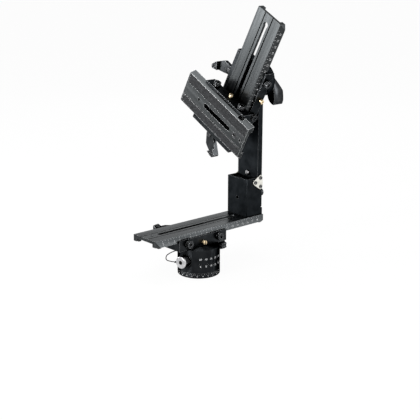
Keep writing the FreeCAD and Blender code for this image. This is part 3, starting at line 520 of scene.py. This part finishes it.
# Rulers on the sloping side of the two long plates, one number a centimetre.
# Their origin and axes are those of the plate's clamp.
rise = Vector((0, -math.sin(tiltAngle), math.cos(tiltAngle)))
aside = Vector((0, math.cos(tiltAngle), math.sin(tiltAngle)))
rulers = [
    {
        "name": "lowerPlateRuler", "body": "lower_slide", "start": -69.65, "count": 19,
        "origin": Vector((0, 20.4, 41.4)), "along": Vector((1, 0, 0)), "across": Vector((0, 1, 0)),
    },
    {
        "name": "upperPlateRuler", "body": "upper_slide", "start": -64.0, "count": 18,
        "origin": Vector((104.2, 0, 266.2)) - 11.6 * rise, "along": rise, "across": aside,
    },
]
slope = {"out": -25.95, "height": 17.25, "run": 3.9, "drop": 9.3}
rulerMarks = {
    "step": 10,
    "size": 4.2,
    "numberDrop": 1.2,
    "tickWidth": 0.35,
    "tickTop": 4.2,
    "ticks": [(0, 2.2), (5, 1.4)],
}


def buildRuler(ruler):
    along, across = ruler["along"], ruler["across"]
    high = along.cross(across)
    up = (across * slope["run"] + high * slope["drop"]).normalized()
    middle = ruler["origin"] + across * slope["out"] + high * slope["height"]
    sheet = MarkSheet(ruler["name"], ruler["body"])
    for k in range(ruler["count"]):
        place = middle + along * (ruler["start"] + rulerMarks["step"] * k)
        sheet.number(k, rulerMarks["size"], facing(place - up * rulerMarks["numberDrop"], along, up))
        for offset, height in rulerMarks["ticks"]:
            at = place + along * offset + up * (rulerMarks["tickTop"] - height / 2)
            sheet.tick(rulerMarks["tickWidth"], height, facing(at, along, up))
    sheet.finish()


for ruler in rulers:
    buildRuler(ruler)
print("marks built")


# Stage, lamps and camera.
stage = {
    "floorSize": 40.0,
    "floorColor": (0.90, 0.90, 0.90),
    "floorRough": 0.9,
    "whiteShare": 0.94,
    "worldColor": (1.0, 1.0, 1.0),
    "worldStrength": 0.6,
}


def seenShare(tree):
    # 1 for rays from the camera, a shine or glass, and 0 for the light that falls on the object
    path = tree.nodes.new("ShaderNodeLightPath")
    share = path.outputs["Is Camera Ray"]
    for ray in ("Is Glossy Ray", "Is Transmission Ray"):
        larger = tree.nodes.new("ShaderNodeMath")
        larger.operation = "MAXIMUM"
        tree.links.new(share, larger.inputs[0])
        tree.links.new(path.outputs[ray], larger.inputs[1])
        share = larger.outputs["Value"]
    return share


def mixSurface(tree, share, plain, white, surface):
    mix = tree.nodes.new("ShaderNodeMixShader")
    tree.links.new(share, mix.inputs["Fac"])
    tree.links.new(plain, mix.inputs[1])
    tree.links.new(white, mix.inputs[2])
    tree.links.new(mix.outputs["Shader"], surface)


def buildFloor():
    half = stage["floorSize"] / 2
    corners = [(-half, -half, 0), (half, -half, 0), (half, half, 0), (-half, half, 0)]
    mesh = bpy.data.meshes.new("floor")
    mesh.from_pydata(corners, [], [(0, 1, 2, 3)])
    floor = bpy.data.objects.new("floor", mesh)
    bpy.context.scene.collection.objects.link(floor)
    paint = bpy.data.materials.new("floorPaint")
    paint.use_nodes = True
    tree = paint.node_tree
    shader = tree.nodes["Principled BSDF"]
    shader.inputs["Base Color"].default_value = (*stage["floorColor"], 1.0)
    shader.inputs["Roughness"].default_value = stage["floorRough"]
    white = tree.nodes.new("ShaderNodeEmission")
    share = tree.nodes.new("ShaderNodeMath")
    share.operation = "MULTIPLY"
    share.inputs[1].default_value = stage["whiteShare"]
    tree.links.new(seenShare(tree), share.inputs[0])
    mixSurface(tree, share.outputs["Value"], shader.outputs["BSDF"], white.outputs["Emission"],
               tree.nodes["Material Output"].inputs["Surface"])
    mesh.materials.append(paint)


def buildWorld():
    world = bpy.data.worlds.new("studio")
    world.use_nodes = True
    tree = world.node_tree
    dim = tree.nodes["Background"]
    dim.inputs["Color"].default_value = (*stage["worldColor"], 1.0)
    dim.inputs["Strength"].default_value = stage["worldStrength"]
    white = tree.nodes.new("ShaderNodeBackground")
    white.inputs["Color"].default_value = (*stage["worldColor"], 1.0)
    white.inputs["Strength"].default_value = 1.0
    mixSurface(tree, seenShare(tree), dim.outputs["Background"], white.outputs["Background"],
               tree.nodes["World Output"].inputs["Surface"])
    bpy.context.scene.world = world


lampTarget = Vector((0.04, 0.0, 0.18))
lamps = [
    {"name": "backLeftSoftbox", "place": (-0.92, 0.98, 0.48), "size": (0.55, 0.7), "power": 10.0},
    {"name": "leftSoftbox", "place": (-1.0, 0.08, 0.34), "size": (0.22, 0.64), "power": 7.0},
    {"name": "topSoftbox", "place": (0.12, 0.05, 1.7), "size": (1.0, 1.0), "power": 9.0},
    {"name": "rightSoftbox", "place": (0.9, -1.1, 0.55), "size": (0.3, 0.8), "power": 4.0},
    {"name": "backRightSoftbox", "place": (1.0, 1.15, 0.62), "size": (0.5, 0.5), "power": 1.6},
]


def buildLamp(lamp):
    light = bpy.data.lights.new(lamp["name"], "AREA")
    light.shape = "RECTANGLE"
    light.size, light.size_y = lamp["size"]
    light.energy = lamp["power"]
    holder = bpy.data.objects.new(lamp["name"], light)
    holder.location = lamp["place"]
    holder.rotation_euler = (lampTarget - holder.location).to_track_quat("-Z", "Y").to_euler()
    bpy.context.scene.collection.objects.link(holder)


camera = {
    "place": (-0.85294, -0.97991, 0.4650),
    "yaw": 41.71,
    "pitch": 16.01,
    "roll": 0.11,
    "lens": 81.9,
    "sensor": 36.0,
    "shift": (0.0013, 0.0003),
    "nearClip": 0.05,
}


def buildCamera():
    data = bpy.data.cameras.new("camera")
    data.lens = camera["lens"]
    data.sensor_width = camera["sensor"]
    data.shift_x, data.shift_y = camera["shift"]
    data.clip_start = camera["nearClip"]
    eye = bpy.data.objects.new("camera", data)
    look = Euler((math.radians(90 - camera["pitch"]), 0, math.radians(-camera["yaw"]))).to_matrix()
    turn = look @ Matrix.Rotation(math.radians(camera["roll"]), 3, "Z")
    eye.matrix_world = Matrix.Translation(camera["place"]) @ turn.to_4x4()
    bpy.context.scene.collection.objects.link(eye)
    bpy.context.scene.camera = eye


buildFloor()
buildWorld()
for lamp in lamps:
    buildLamp(lamp)
buildCamera()
bpy.context.scene.view_settings.view_transform = "Standard"
print("stage, lamps and camera built")
